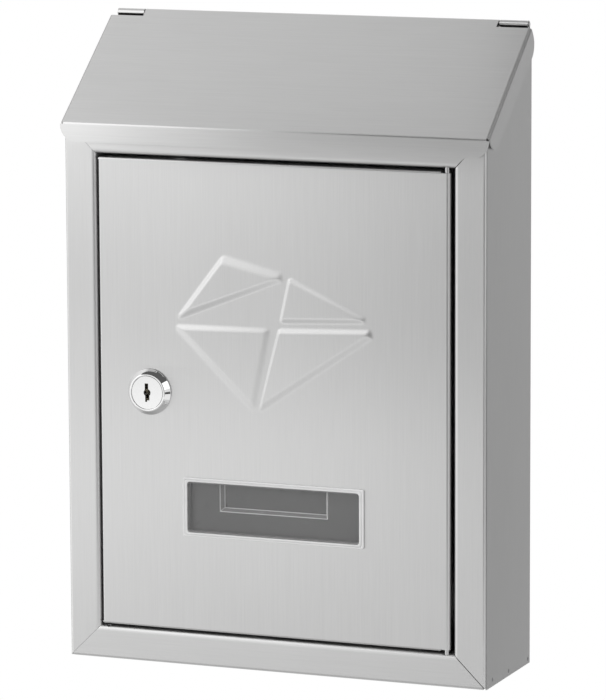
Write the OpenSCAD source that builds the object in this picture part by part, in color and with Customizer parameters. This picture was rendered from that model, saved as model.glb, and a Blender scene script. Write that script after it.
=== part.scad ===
// Wall mounted letter box folded from stainless sheet: a wrapped shell with a front frame,
// a sloping lid on a hinge wire, and a front door with a cam lock and a name window.
// Millimetres, +Z up, +X to the right, the front faces -Y.
// The origin is the middle of the four wall holes, on the back face.

/* [Box] */
// Outside width of the box
box_w = 215; // [195:1:260]
// Depth from the wall face to the front frame
box_d = 65; // [60:1:90]
// Thickness of the stainless sheet
sheet_t = 0.6; // [0.5:0.05:0.8]
// Outer radius of the upright corner folds of the shell
fold_r = 1.5; // [1.2:0.1:2.5]
// Face width of the two upright stiles of the front frame
stile_w = 16.2; // [12:0.1:20]
// Face height of the bottom rail of the front frame
rail_h = 16; // [12:0.1:20]
// Outer radius of the rolled edge round the door opening
rim_r = 2.4; // [1.4:0.1:2.6]
// Depth of the returns behind the rolled edge
return_d = 10; // [8:0.5:10.5]
// Height from the door opening to the lid's front fold
head_h = 14.4; // [11:0.1:25]
// Open line at the mitred corners of the hinge side
mitre_gap = 0.5; // [0.2:0.05:0.6]
// Open line at the mitred corners of the lock side
lock_mitre_gap = 0.15; // [0.1:0.05:0.6]
// Height of the flanges that weld the floor and the rails to the walls
weld_flange_h = 6; // [5:0.5:9]

/* [Wall holes] */
// Distance between the wall holes across the box
hole_span_x = 150; // [80:5:160]
// Distance between the wall holes up the box
hole_span_z = 200; // [120:5:210]
// Height of the middle of the wall holes above the floor of the box
hole_mid_h = 155; // [140:1:165]
// Radius of a wall hole
hole_r = 3; // [2.5:0.25:4]

/* [Lid] */
// Rise from the lid's front fold to the hinge wire
lid_rise = 47.8; // [35:0.2:55]
// Height of the front lip of the lid
lip_h = 9.2; // [9:0.1:12]
// Width of the side flaps of the lid
flap_w = 12; // [10:0.5:16]
// Radius of the rounded lip and flap corners
lid_corner_r = 8; // [5:0.5:8]
// Outer radius of the folds of the lid
lid_fold_r = 1.5; // [1.2:0.1:2]
// Gap between the lip and the front frame
lip_gap = 0.8; // [0.5:0.1:1.5]
// Gap between a side flap and the side wall
flap_gap = 1; // [0.6:0.1:1.6]
// Gap between the closed lid and the edges it lies over
seat_gap = 0.3; // [0.2:0.05:0.5]
// Distance from the hinge line to the notch that clears a knuckle
notch_d = 4.3; // [3.6:0.1:6]

/* [Lid hinge] */
// Radius of the hinge wire
wire_r = 1.1; // [0.9:0.05:1.4]
// Running clearance between a wire or rod and the roll round it
roll_clear = 0.1; // [0.06:0.02:0.16]
// Length of a knuckle of the shell
knuckle_l = 14; // [10:0.5:18]
// Distance from the outside of a side wall to its knuckle
knuckle_inset = 1.3; // [1:0.1:3]
// Gap between a knuckle and the roll of the lid
knuckle_gap = 0.8; // [0.4:0.1:1.5]
// Length of wire that stands out of each outer knuckle
wire_end = 0.4; // [0.2:0.1:0.9]

/* [Door] */
// Height of the door
door_h = 228.6; // [210:0.1:245]
// Gap at the bottom and the free side of the door
door_gap = 1.2; // [1:0.1:2.5]
// Gap above the door
top_gap = 1.6; // [1:0.1:2.5]
// Gap at the hinge side of the door
hinge_gap = 1.9; // [1.6:0.1:3.5]
// How far the door lies behind the front of the frame
door_recess = 0.2; // [0:0.1:0.6]
// Outer radius of the folded edges of the door
door_fold_r = 1.2; // [1:0.1:1.6]
// Depth of the folded edges of the door
door_flange_d = 8; // [6:0.5:8.5]
// Radius of the hinge rod
rod_r = 1.2; // [1:0.05:1.3]
// How far the rod reaches past each rail
rod_end = 3; // [2:0.5:5]
// Clearance of the rod in the holes of the rails
rod_clear = 0.08; // [0.05:0.01:0.1]
// How much shorter the rolled edge is than the door at each end
roll_relief = 0.8; // [0.4:0.1:1.2]

/* [Embossed envelope] */
// Width of the figure
envelope_w = 100; // [80:1:110]
// Height of the middle of the figure above the bottom of the door
envelope_h = 150.8; // [140:0.1:165]
// How far its panels stand out of the door
envelope_raise = 1.1; // [0.6:0.1:1.4]
// Width of the slope round each panel
envelope_slope = 2.8; // [2:0.1:3.5]

/* [Name window] */
// Height of the middle of the window above the bottom of the door
window_mid_h = 60.9; // [35:0.1:70]
// Width of the window flange
window_w = 93.4; // [70:0.2:110]
// Height of the window flange
window_h = 28.8; // [22:0.2:34]
// Overlap of the flange on the door round the cut-out
window_lap = 2.3; // [1.6:0.1:3]
// Thickness of the clear mouldings
window_t = 1; // [0.8:0.1:1.4]
// Depth of the sleeve behind the face of the door
sleeve_d = 4; // [3:0.5:5]
// Clearance of the sleeve in the door and of the holder in the sleeve
snap_clear = 0.15; // [0.1:0.05:0.25]
// Width of the push-out opening of the holder
push_w = 52; // [30:1:56]
// Height of the push-out opening of the holder
push_h = 11; // [6:0.5:12]
// Width of the sloping collar round the push-out opening
push_slope = 2.2; // [1.4:0.1:2.6]
// Depth of that collar
push_d = 3; // [2:0.5:4]

/* [Lock] */
// Distance from the free side of the door to the lock
lock_side = 26.1; // [24:0.1:32]
// Height of the lock above the bottom of the door
lock_h = 115.9; // [95:0.1:117]
// Outer radius of the bezel
bezel_r = 11.2; // [10.6:0.1:12.5]
// How far the bezel stands out of the door
bezel_h = 3.6; // [3:0.1:5]
// Radius of the face of the plug
plug_face_r = 8; // [7.4:0.1:8.4]
// Radius of the barrel of the housing
barrel_r = 9.4; // [9.2:0.1:9.8]
// Distance across the two flats of the barrel
barrel_flats = 16; // [15.6:0.1:17]
// Length of the barrel behind the face of the door
barrel_l = 11; // [10.5:0.25:14]
// Radius of the plug inside the barrel
plug_r = 6.4; // [6:0.1:6.8]
// Running clearance round the plug
plug_clear = 0.06; // [0.04:0.01:0.1]
// Height of the keyway
keyway_h = 9; // [7.5:0.25:9.5]
// Width of the keyway
keyway_w = 1.8; // [1.4:0.1:2]
// Distance across the flats of the lock nut
nut_af = 24; // [23:0.5:26]
// Thickness of the lock nut
nut_t = 3; // [2.5:0.25:4]
// Thickness of the lock washer
lock_washer_t = 0.8; // [0.6:0.1:1]
// Number of wafers in the plug
wafer_count = 4; // [3:1:4]
// Thickness of a wafer
wafer_t = 0.8; // [0.6:0.05:0.9]
// Distance from one wafer to the next
wafer_pitch = 1.9; // [1.8:0.05:2.05]

/* [Cam] */
// Length of the cam from the lock to its tip
cam_l = 34; // [32:0.5:38]
// Width of the cam at its tip
cam_w = 11; // [8:0.5:13]
// Thickness of the cam
cam_t = 2; // [1.5:0.1:2.5]
// Radius of the round end of the cam at the lock
cam_hub_r = 7.5; // [7:0.25:8.5]
// Side of the square tail that drives the cam
tail_s = 7; // [6:0.2:7.6]
// Play between the tail and the cam
tail_clear = 0.1; // [0.05:0.05:0.15]
// Radius of the cam screw's thread
screw_r = 1.9; // [1.5:0.1:2]
// Length of the cam screw under its head
screw_l = 5; // [4:0.25:5.5]
// Radius of the cam screw's head
screw_head_r = 3.6; // [3.4:0.1:4.2]
// Height of the cam screw's head
screw_head_h = 2; // [1.6:0.1:2.6]
// Thickness of the cam washer
cam_washer_t = 0.8; // [0.6:0.1:1.2]

/* [Hidden] */
$fn = 48;

steel = [0.76, 0.77, 0.78];
bright = [0.85, 0.86, 0.88];
clear_plastic = [0.75, 0.78, 0.8, 0.4];
zinc = [0.62, 0.63, 0.62];

// Front frame, measured from the floor of the box
half_w = box_w/2;
wall_x = half_w - sheet_t;
stile_in = half_w - stile_w;
door_z0 = rail_h + door_gap;
door_z1 = door_z0 + door_h;
opening_top = door_z1 + top_gap;
front_y = -box_d;
return_y = front_y + return_d;
lid_fold_h = opening_top + head_h;
rail_drop = 3.5;
rail_top = lid_fold_h - rail_drop;
rail_hem_d = 8;
rail_hem_h = 4;

// Lid hinge and the slope of the lid
curl_r = wire_r + roll_clear + sheet_t;
wire_y = -curl_r;
wire_z = lid_fold_h + lid_rise;
lip_y = front_y - lip_gap - sheet_t;
lid_run = norm([wire_y - lip_y, lid_rise]);
lid_slope = atan2(lid_rise, wire_y - lip_y) + asin(curl_r/lid_run);
roll_u = sqrt(lid_run*lid_run - curl_r*curl_r);
lid_half_w = half_w + flap_gap + sheet_t;
lid_turn = 90 - lid_slope;
lid_fold_back = lid_fold_r*tan(lid_turn/2);
panel_l = roll_u - notch_d - lid_fold_back;
lid_corner_gap = 0.3;
lid_fold_n = 8;
knuckle_x1 = half_w - knuckle_inset;
knuckle_x0 = knuckle_x1 - knuckle_l;
roll_half_w = knuckle_x0 - knuckle_gap;
roll_gap = 0.5;
knuckle_root = 2;
shell_top = wire_z - curl_r - roll_gap;

// Door
door_y = front_y + door_recess;
door_back = door_y + sheet_t;
door_x0 = -(stile_in - door_gap);
door_x1 = stile_in - hinge_gap;
door_mid_x = (door_x0 + door_x1)/2;
door_roll_r = rod_r + roll_clear + sheet_t;
rod_x = door_x1 - door_roll_r;
rod_y = door_y + door_roll_r;
roll_notch = 2.7;
seam_lap = 0.3;
rod_hole_r = rod_r + rod_clear;

// The four raised panels of the envelope, in hundredths of its width: three corners each,
// then how far each corner is cut back
ENVELOPE = [
    [[[-25, 34.1], [-52.4, -1.3], [15.1, 24.7]], [1, 5, 9.5]],
    [[[8.8, 25.2], [3.5, 1.4], [56, 3.8]], [2, 2, 8.5]],
    [[[-53.6, -0.9], [-8.8, -44], [0.1, -0.1]], [4, 3, 2]],
    [[[3.4, 0], [-8, -43.5], [60.3, 2.3]], [1.5, 3.5, 10]]
];

// Name window
window_x = door_mid_x;
window_z = door_z0 + window_mid_h;
cut_w = window_w - 2*window_lap;
cut_h = window_h - 2*window_lap;
sleeve_w = cut_w - 2*snap_clear;
sleeve_h = cut_h - 2*snap_clear;
holder_w = sleeve_w - 2*window_t - 2*snap_clear;
holder_h = sleeve_h - 2*window_t - 2*snap_clear;
spigot_d = 1.5;
barb_l = 8;
barb_out = 0.5;
barb_gap = 0.05;
push_top_gap = 0.4;

// Lock, with depths measured back from the face of the door
lock_x = door_x0 + lock_side;
lock_z = door_z0 + lock_h;
rim_w = 0.9;
bezel_foot = 0.8;
face_t = 1.6;
face_sink = 0.15;
plug_bore_r = plug_r + plug_clear;
plug_back = barrel_l + 0.2;
wafer_d0 = 0.8;
wafer_w = 6.4;
wafer_window_w = 2.6;
wafer_sill = 1;
wafer_slot_clear = 0.08;
spring_pocket_w = 1.5;
spring_pocket_h = 4.4;
spring_pocket_drop = 1.5;
spring_end_gap = 0.1;
spring_wire_r = 0.09;
spring_r = 0.3;
spring_turns = 3;
spring_steps = 8;
spring_sides = 4;
cam_d0 = plug_back;
cam_d1 = cam_d0 + cam_t;
screw_head_d = cam_d1 + cam_washer_t;
screw_tip_gap = 0.3;
screw_drive_w = 4.4;
screw_slot_w = 0.8;
thread_clear = 0.02;
nut_clear = 0.1;
lock_washer_r = 12;
cam_washer_r = 5.2;

// ---- helpers ----

module from_floor() translate([0, 0, -hole_mid_h]) children();

// Side outlines: first coordinate Y, second Z, drawn out along X about the middle
module along_x(l) rotate([90, 0, 90]) linear_extrude(l, center = true) children();

// Front outlines: first coordinate X, second Z, drawn back from y
module along_y(y, l) translate([0, y + l, 0]) rotate([90, 0, 0]) linear_extrude(l) children();

// Turned and drawn lock pieces: +Z of the child points back from the face of the door
module at_lock() translate([lock_x, door_y, lock_z]) rotate([-90, 0, 0]) children();

// A shape and its mirror image on the other side of the box
module both_sides() {
    children();
    mirror([1, 0, 0]) children();
}

function arc_points(r, a0, a1, n) =
    [for (i = [0:n]) let (a = a0 + (a1 - a0)*i/n) r*[cos(a), sin(a)]];

// Section of a bent sheet of outer radius r, from angle a0 to a1 about the origin
module bend(r, a0, a1, t = sheet_t) {
    difference() {
        intersection() {
            circle(r);
            polygon(concat([[0, 0]], arc_points(2*r, a0, a1, ceil((a1 - a0)/45))));
        }
        circle(r - t);
    }
}

// Rectangle between two opposite corners
module box2(x0, y0, x1, y1) polygon([[x0, y0], [x1, y0], [x1, y1], [x0, y1]]);

// Plate outline with four rounded corners
module rounded(w, h, r) {
    box2(-w/2, -h/2 + r, w/2, h/2 - r);
    box2(-w/2 + r, -h/2, w/2 - r, h/2);
    for (x = [-1, 1], y = [-1, 1]) translate([x*(w/2 - r), y*(h/2 - r)]) circle(r);
}

// Plate outline hanging from y = 0, its lower two corners rounded
module apron(w, h, r) {
    translate([0, -h]) {
        box2(-w/2, r, w/2, h);
        box2(-w/2 + r, 0, w/2 - r, r);
        for (s = [-1, 1]) translate([s*(w/2 - r), r]) intersection() {
            circle(r);
            box2(-r, -r, r, 0);
        }
    }
}

// ---- box ----

// Plan section of the right half of the wrapped sheet
module wrap_plan() {
    box2(0, -sheet_t, half_w - fold_r, 0);
    translate([half_w - fold_r, -fold_r]) bend(fold_r, 0, 90);
    box2(wall_x, front_y + fold_r, half_w, -fold_r);
    translate([half_w - fold_r, front_y + fold_r]) bend(fold_r, -90, 0);
    box2(stile_in + rim_r, front_y, half_w - fold_r, front_y + sheet_t);
    translate([stile_in + rim_r, front_y + rim_r]) bend(rim_r, 180, 270);
    box2(stile_in, front_y + rim_r, stile_in + sheet_t, return_y);
}

// Everything above the lid's underside, less the seat gap, as a side outline
module above_seat() {
    translate([lip_y, lid_fold_h]) rotate(lid_slope)
        box2(-lid_run, -sheet_t - seat_gap, 2*lid_run, lid_run);
    box2(front_y - 1, shell_top, 1, wire_z + lid_rise);
}

// Ends of a stile where the rails meet it, as front outlines
module lower_mitre(gap) {
    k = stile_w/rail_h;
    polygon([[stile_in - 2, -1], [stile_in - 2, rail_h + (2 + gap)/k],
        [half_w + gap + k, -1]]);
}

module upper_mitre(gap) {
    x1 = wall_x;
    polygon([[stile_in - 2, opening_top - 2 - gap], [x1, opening_top + x1 - stile_in - gap],
        [x1, wire_z], [stile_in - 2, wire_z]]);
}

// One half of the shell, with the open line that it leaves at its mitred corners
module half_shell(gap) {
    difference() {
        linear_extrude(wire_z) wrap_plan();
        along_x(box_w + 2) above_seat();
        along_y(front_y - 1, return_d + 2) intersection() {
            lower_mitre(gap);
            box2(0, -1, wall_x, rail_h + 4);
        }
        along_y(front_y - 1, 1 + fold_r) lower_mitre(gap);
        along_y(front_y - 1, return_d + 2) upper_mitre(gap);
        for (z = [-1, 1])
            translate([hole_span_x/2, 0, hole_mid_h + z*hole_span_z/2])
                rotate([90, 0, 0]) cylinder(r = hole_r, h = 4*sheet_t, center = true);
    }
    translate([(knuckle_x0 + knuckle_x1)/2, 0, 0]) along_x(knuckle_l) {
        box2(-sheet_t, shell_top - knuckle_root, 0, wire_z);
        translate([wire_y, wire_z]) bend(curl_r, 0, 285);
    }
}

module body_shell() {
    color(steel) from_floor() {
        half_shell(mitre_gap);
        mirror([1, 0, 0]) half_shell(lock_mitre_gap);
    }
}

// Side section of the floor sheet with its bottom rail and rear flange
module floor_section() {
    floor_back = -sheet_t;
    translate([front_y + fold_r, fold_r]) bend(fold_r, 180, 270);
    box2(front_y, fold_r, front_y + sheet_t, rail_h - rim_r);
    translate([front_y + rim_r, rail_h - rim_r]) bend(rim_r, 90, 180);
    box2(front_y + rim_r, rail_h - sheet_t, return_y, rail_h);
    box2(front_y + fold_r, 0, floor_back - fold_r, sheet_t);
    translate([floor_back - fold_r, fold_r]) bend(fold_r, 270, 360);
    box2(floor_back - sheet_t, fold_r, floor_back, weld_flange_h);
}

// The rails are drilled at both ends, so that the door can be hung on either side
module rod_holes(z) both_sides()
    translate([rod_x, rod_y, z]) cylinder(r = rod_hole_r, h = 6*rim_r, center = true);

module floor_pan() {
    flange_y0 = front_y + fold_r + 2*sheet_t;
    flange_l = box_d - 2*fold_r - 4*sheet_t;
    color(steel) from_floor() difference() {
        union() {
            intersection() {
                along_x(2*(wall_x - fold_r)) floor_section();
                along_y(front_y - 1, box_d + 2)
                    polygon([[-half_w, 0], [half_w, 0], [stile_in, rail_h], [-stile_in, rail_h]]);
            }
            // The weld flanges run up inside the side walls
            along_y(flange_y0, flange_l) both_sides() {
                box2(0, 0, wall_x - fold_r, sheet_t);
                translate([wall_x - fold_r, fold_r]) bend(fold_r, 270, 360);
                box2(wall_x - sheet_t, fold_r, wall_x, weld_flange_h);
            }
            // The bottom rail reaches a little further, to the corner folds of the shell
            intersection() {
                along_x(2*half_w) floor_section();
                along_y(front_y - 1, 1 + fold_r)
                    polygon([[fold_r - half_w, 0], [half_w - fold_r, 0], [half_w - fold_r, fold_r],
                        [wall_x - fold_r, fold_r + sheet_t], [fold_r - wall_x, fold_r + sheet_t],
                        [fold_r - half_w, fold_r]]);
            }
        }
        rod_holes(rail_h);
    }
}

// Side section of the rail above the door
module top_rail_section() {
    hem_y = front_y + rail_hem_d;
    translate([front_y + rim_r, opening_top + rim_r]) bend(rim_r, 180, 270);
    box2(front_y + rim_r, opening_top, return_y, opening_top + sheet_t);
    box2(front_y, opening_top + rim_r, front_y + sheet_t, rail_top - fold_r);
    translate([front_y + fold_r, rail_top - fold_r]) bend(fold_r, 90, 180);
    box2(front_y + fold_r, rail_top - sheet_t, hem_y - fold_r, rail_top);
    translate([hem_y - fold_r, rail_top - fold_r]) bend(fold_r, 0, 90);
    box2(hem_y - sheet_t, rail_top - rail_hem_h, hem_y, rail_top - fold_r);
}

module top_rail() {
    rise = rail_top - opening_top;
    tab_z0 = opening_top + rim_r + mitre_gap + sheet_t;
    tab_z1 = rail_top - fold_r;
    color(steel) from_floor() difference() {
        union() {
            intersection() {
                along_x(box_w) top_rail_section();
                along_y(front_y - 1, return_d + 2)
                    polygon([[-stile_in, opening_top], [stile_in, opening_top],
                        [stile_in + rise, rail_top], [-stile_in - rise, rail_top]]);
            }
            // Weld tabs behind the tops of the stiles
            both_sides() along_y(front_y + sheet_t, sheet_t)
                box2(stile_in - rim_r, tab_z0, wall_x - fold_r, tab_z1);
        }
        rod_holes(opening_top);
    }
}

// ---- lid ----

// Places a child drawn on the slope: X across, Y up the slope, Z out of the lid's top face
module on_slope() translate([0, lip_y, lid_fold_h]) rotate([lid_slope, 0, 0]) children();

module lid_flap() {
    // A strip on edge, square to the lid, with both lower corners rounded
    l = panel_l - lid_corner_gap;
    translate([lid_half_w - lid_fold_r, panel_l, 0]) {
        translate([lid_fold_r - sheet_t, -l/2, 0])
            rotate([90, 0, 90]) linear_extrude(sheet_t) apron(l, flap_w - lid_fold_r, lid_corner_r);
        rotate([90, 0, 0]) linear_extrude(l) bend(lid_fold_r, 0, 90);
    }
}

module lid() {
    flat_w = 2*(lid_half_w - lid_fold_r);
    lip_flat = lip_h - lid_fold_back;
    outer = arc_points(lid_fold_r, 90, 90 + lid_turn, lid_fold_n);
    inner = arc_points(lid_fold_r - sheet_t, 90 + lid_turn, 90, lid_fold_n);
    lip_end = [for (p = [outer[lid_fold_n], inner[0]]) p - lip_flat*[cos(lid_turn), sin(lid_turn)]];
    color(steel) from_floor() on_slope() {
        translate([0, lid_fold_back, -lid_fold_r]) {
            // Panel up to the notches with the front fold, and the lip, which is wider than
            // the panel and has rounded corners
            intersection() {
                union() {
                    along_x(flat_w) polygon(concat([[panel_l, lid_fold_r]], outer, lip_end, inner,
                        [[panel_l, lid_fold_r - sheet_t]]));
                    along_x(2*lid_half_w) polygon(concat([outer[lid_fold_n]], lip_end, [inner[0]]));
                }
                rotate([lid_turn, 0, 0]) translate([0, lid_run, -lid_run]) linear_extrude(2*lid_run)
                    apron(2*lid_half_w, lip_flat + lid_run, lid_corner_r);
            }
            // The narrower part that reaches the hinge wire
            along_x(2*roll_half_w) box2(0, lid_fold_r - sheet_t, panel_l + notch_d, lid_fold_r);
            translate([0, panel_l + notch_d, lid_fold_r - curl_r])
                along_x(2*roll_half_w) bend(curl_r, -200, 90);
            both_sides() lid_flap();
        }
    }
}

module lid_hinge_wire() {
    color(zinc) from_floor() translate([0, wire_y, wire_z])
        rotate([0, 90, 0]) cylinder(r = wire_r, h = 2*(knuckle_x1 + wire_end), center = true);
}

// ---- door ----

function unit(v) = v/norm(v);

// The triangle p with corner i cut back by c[i] along both of its edges
function cut_corners(p, c) = [for (i = [0:2], k = [2, 1]) p[i] + c[i]*unit(p[(i + k) % 3] - p[i])];

function side_lengths(p) = [for (i = [0:2]) norm(p[(i + 1) % 3] - p[(i + 2) % 3])];

function incentre(p) =
    let (s = side_lengths(p)) (s[0]*p[0] + s[1]*p[1] + s[2]*p[2])/(s[0] + s[1] + s[2]);

function inradius(p) =
    let (s = side_lengths(p), h = (s[0] + s[1] + s[2])/2)
        sqrt((h - s[0])*(h - s[1])*(h - s[2])/h);

// A panel with sloping sides: its foot on z = 0 and its flat top at z = h
module raised_panel(corners, cuts, h) {
    foot = cut_corners(corners, cuts);
    mid = incentre(corners);
    k = 1 - envelope_slope/inradius(corners);
    n = len(foot);
    low = -sheet_t/4;
    points = concat([for (p = foot) [p.x, p.y, low]], [for (p = foot) [p.x, p.y, 0]],
        [for (p = foot) [mid.x + k*(p.x - mid.x), mid.y + k*(p.y - mid.y), h]]);
    polyhedron(points, concat([[for (i = [0:n - 1]) i]], [[for (i = [n - 1:-1:0]) 2*n + i]],
        [for (r = [0, n], i = [0:n - 1]) [r + i, r + n + i, r + n + (i + 1) % n, r + (i + 1) % n]]));
}

// The envelope's panels, standing out to the front from the plane y
module envelope(y) {
    k = envelope_w/100;
    for (panel = ENVELOPE)
        translate([door_mid_x, y, door_z0 + envelope_h]) rotate([90, 0, 0])
            raised_panel(k*panel[0], k*panel[1], envelope_raise);
}

// Plan section of the door: free edge with its return, face, and the edge rolled round the rod
module door_plan() {
    translate([door_x0 + door_fold_r, door_y + door_fold_r]) bend(door_fold_r, 180, 270);
    box2(door_x0, door_y + door_fold_r, door_x0 + sheet_t, door_y + door_flange_d);
    box2(door_x0 + door_fold_r, door_y, rod_x, door_back);
    translate([rod_x, rod_y]) bend(door_roll_r, -90, 190);
}

// Side section of the folds along the top and the bottom of the door, with the edge of the
// face that each fold runs on from
module door_edge_section() {
    r = door_fold_r;
    box2(door_y, door_z1 - r - seam_lap, door_back, door_z1 - r);
    box2(door_y, door_z0 + r, door_back, door_z0 + r + seam_lap);
    translate([door_y + r, door_z1 - r]) bend(r, 90, 180);
    box2(door_y + r, door_z1 - sheet_t, door_y + door_flange_d, door_z1);
    translate([door_y + r, door_z0 + r]) bend(r, 180, 270);
    box2(door_y + r, door_z0, door_y + door_flange_d, door_z0 + sheet_t);
}

// Front outline of those folds: rounded corners, and clear of the fold of the free side
module door_edge_outline(w, h, r) {
    difference() {
        rounded(w, h, r);
        box2(-w/2 - 1, -h/2 + r, -w/2 + r, h/2 - r);
    }
}

module door_panel() {
    r = door_fold_r;
    fold_x1 = rod_x - roll_notch;
    color(steel) from_floor() difference() {
        union() {
            translate([0, 0, door_z0 + r]) linear_extrude(door_h - 2*r) intersection() {
                door_plan();
                box2(door_x0, door_y, fold_x1 + seam_lap, door_y + door_flange_d);
            }
            translate([0, 0, door_z0 + roll_relief]) linear_extrude(door_h - 2*roll_relief) difference() {
                door_plan();
                box2(door_x0 - 1, door_y - 1, fold_x1, door_y + door_flange_d + 1);
            }
            intersection() {
                translate([(door_x0 + fold_x1)/2, 0, 0]) along_x(fold_x1 - door_x0) door_edge_section();
                along_y(door_y - 1, door_flange_d + 2) translate([door_mid_x, (door_z0 + door_z1)/2])
                    door_edge_outline(2*(door_mid_x - door_x0), door_h, r);
            }
            envelope(door_y);
        }
        envelope(door_back);
        at_lock() intersection() {
            cylinder(r = barrel_r + nut_clear, h = 4*sheet_t, center = true);
            cube([4*barrel_r, barrel_flats + 2*nut_clear, 5*sheet_t], center = true);
        }
        translate([window_x - cut_w/2, door_y - 1, window_z - cut_h/2]) cube([cut_w, 2 + sheet_t, cut_h]);
    }
}

module door_hinge_rod() {
    z0 = rail_h - rod_end;
    color(zinc) from_floor() translate([rod_x, rod_y, z0])
        cylinder(r = rod_r, h = opening_top + rod_end - z0);
}

// ---- name window ----

module at_window() translate([window_x, 0, window_z]) children();

module name_window() {
    color(clear_plastic) from_floor() at_window() {
        along_y(door_y - window_t, window_t) rounded(window_w, window_h, 1.5);
        along_y(door_y, sleeve_d) difference() {
            square([sleeve_w, sleeve_h], center = true);
            square([sleeve_w - 2*window_t, sleeve_h - 2*window_t], center = true);
        }
        // Snap barbs behind the sheet
        for (x = [-1, 1], z = [-1, 1])
            translate([x*sleeve_w/4 - barb_l/2, door_back + barb_gap, z*(sleeve_h/2) - barb_out])
                cube([barb_l, window_t, 2*barb_out]);
    }
}

module name_holder() {
    back = door_y + sleeve_d;
    slope_w = push_w + 2*push_slope;
    slope_h = push_h + 2*push_slope;
    rim = window_t/2;
    push_z = holder_h/2 - push_top_gap - slope_h/2;
    thin = 0.01;
    color(clear_plastic) from_floor() at_window() difference() {
        union() {
            along_y(back, window_t) rounded(sleeve_w, sleeve_h, 0.8);
            along_y(back - spigot_d, spigot_d) difference() {
                square([holder_w, holder_h], center = true);
                square([holder_w - 2*window_t, holder_h - 2*window_t], center = true);
            }
            translate([0, 0, push_z]) hull() {
                along_y(back, window_t) square([slope_w, slope_h], center = true);
                along_y(back + push_d, window_t)
                    square([push_w + 2*rim, push_h + 2*rim], center = true);
            }
        }
        translate([0, 0, push_z]) hull() {
            along_y(back, thin) square([slope_w - 2*rim, slope_h - 2*rim], center = true);
            along_y(back + push_d + window_t, thin) square([push_w, push_h], center = true);
        }
    }
}

// ---- lock ----

module lock_housing() {
    color(bright) from_floor() at_lock() difference() {
        union() {
            rotate_extrude() polygon([[0, 0], [bezel_r, 0], [bezel_r, -bezel_foot],
                [plug_face_r + rim_w, -bezel_h + 0.2], [plug_face_r + rim_w - 0.2, -bezel_h], [0, -bezel_h]]);
            intersection() {
                cylinder(r = barrel_r, h = barrel_l);
                translate([0, 0, barrel_l/2])
                    cube([4*barrel_r, barrel_flats, 2*barrel_l], center = true);
            }
        }
        translate([0, 0, -bezel_h - 1]) cylinder(r = plug_bore_r, h = bezel_h + barrel_l + 2);
        translate([0, 0, -bezel_h - 1]) cylinder(r = plug_face_r + plug_clear, h = 1 + face_t + 2*plug_clear);
    }
}

module lock_washer() {
    color(zinc) from_floor() at_lock() translate([0, 0, sheet_t]) difference() {
        cylinder(r = lock_washer_r, h = lock_washer_t);
        translate([0, 0, -1]) cylinder(r = barrel_r + nut_clear, h = lock_washer_t + 2);
    }
}

module lock_nut() {
    color(zinc) from_floor() at_lock() translate([0, 0, sheet_t + lock_washer_t]) difference() {
        cylinder(r = nut_af/2/cos(30), h = nut_t, $fn = 6);
        translate([0, 0, -1]) cylinder(r = barrel_r + nut_clear/2, h = nut_t + 2);
    }
}

// Front outline of the keyway: two offset halves with a round in the middle
module keyway() {
    w = keyway_w;
    box2(-w/2 - 0.3, -0.5, w/2 - 0.3, keyway_h/2);
    box2(-w/2 + 0.5, -keyway_h/2 + 0.8, w/2 + 0.3, 0.5);
    box2(-w/2 - 0.1, -keyway_h/2, 0, 0.5);
    circle(keyway_w);
}

function wafer_d(i) = wafer_d0 + i*wafer_pitch;

module lock_plug() {
    color(bright) from_floor() at_lock() difference() {
        union() {
            translate([0, 0, -bezel_h + face_sink]) cylinder(r = plug_face_r, h = face_t - face_sink);
            translate([0, 0, -bezel_h + face_t/2]) cylinder(r = plug_r, h = plug_back + bezel_h - face_t/2);
            translate([0, 0, plug_back]) linear_extrude(cam_t) square(tail_s, center = true);
        }
        translate([0, 0, -bezel_h - 1]) mirror([0, 1, 0])
            linear_extrude(bezel_h + 1 + wafer_d(wafer_count)) keyway();
        for (i = [0:wafer_count - 1]) translate([0, 0, wafer_d(i) - wafer_slot_clear])
            linear_extrude(wafer_t + 2*wafer_slot_clear)
                square([wafer_w + 2*wafer_slot_clear, 3*plug_r], center = true);
        translate([0, 0, screw_head_d - screw_l - screw_tip_gap])
            cylinder(r = screw_r + thread_clear, h = screw_l);
    }
}

module lock_wafers() {
    color(zinc) from_floor() at_lock() for (i = [0:wafer_count - 1]) translate([0, 0, wafer_d(i)])
        linear_extrude(wafer_t) difference() {
            intersection() {
                circle(plug_r - 0.1);
                square([wafer_w, 3*plug_r], center = true);
            }
            square([wafer_window_w, keyway_h - 2*wafer_sill], center = true);
            translate([wafer_w/2, -spring_pocket_drop])
                square([2*spring_pocket_w, spring_pocket_h], center = true);
        }
}

// A small coil spring of height h standing on z = 0
module coil(h) {
    n = spring_turns*spring_steps;
    m = spring_sides;
    points = [for (i = [0:n], j = [0:m - 1])
        let (a = 360*i/spring_steps, b = 360*j/m, r = spring_r + spring_wire_r*cos(b))
            [r*cos(a), r*sin(a), spring_wire_r + (h - 2*spring_wire_r)*i/n + spring_wire_r*sin(b)]];
    sides = [for (i = [0:n - 1], j = [0:m - 1], k = [0, 1])
        let (p = i*m + j, q = i*m + (j + 1) % m)
            k == 0 ? [p, p + m, q] : [q, p + m, q + m]];
    polyhedron(points, concat(sides, [[for (j = [0:m - 1]) j]], [[for (j = [m - 1:-1:0]) n*m + j]]));
}

module wafer_springs() {
    x = (wafer_w - spring_pocket_w)/2;
    end = spring_pocket_h/2 - spring_end_gap;
    color(bright) from_floor() at_lock() for (i = [0:wafer_count - 1])
        translate([x, end - spring_pocket_drop, wafer_d(i) + wafer_t/2]) rotate([90, 0, 0]) coil(2*end);
}

// ---- cam ----

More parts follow.
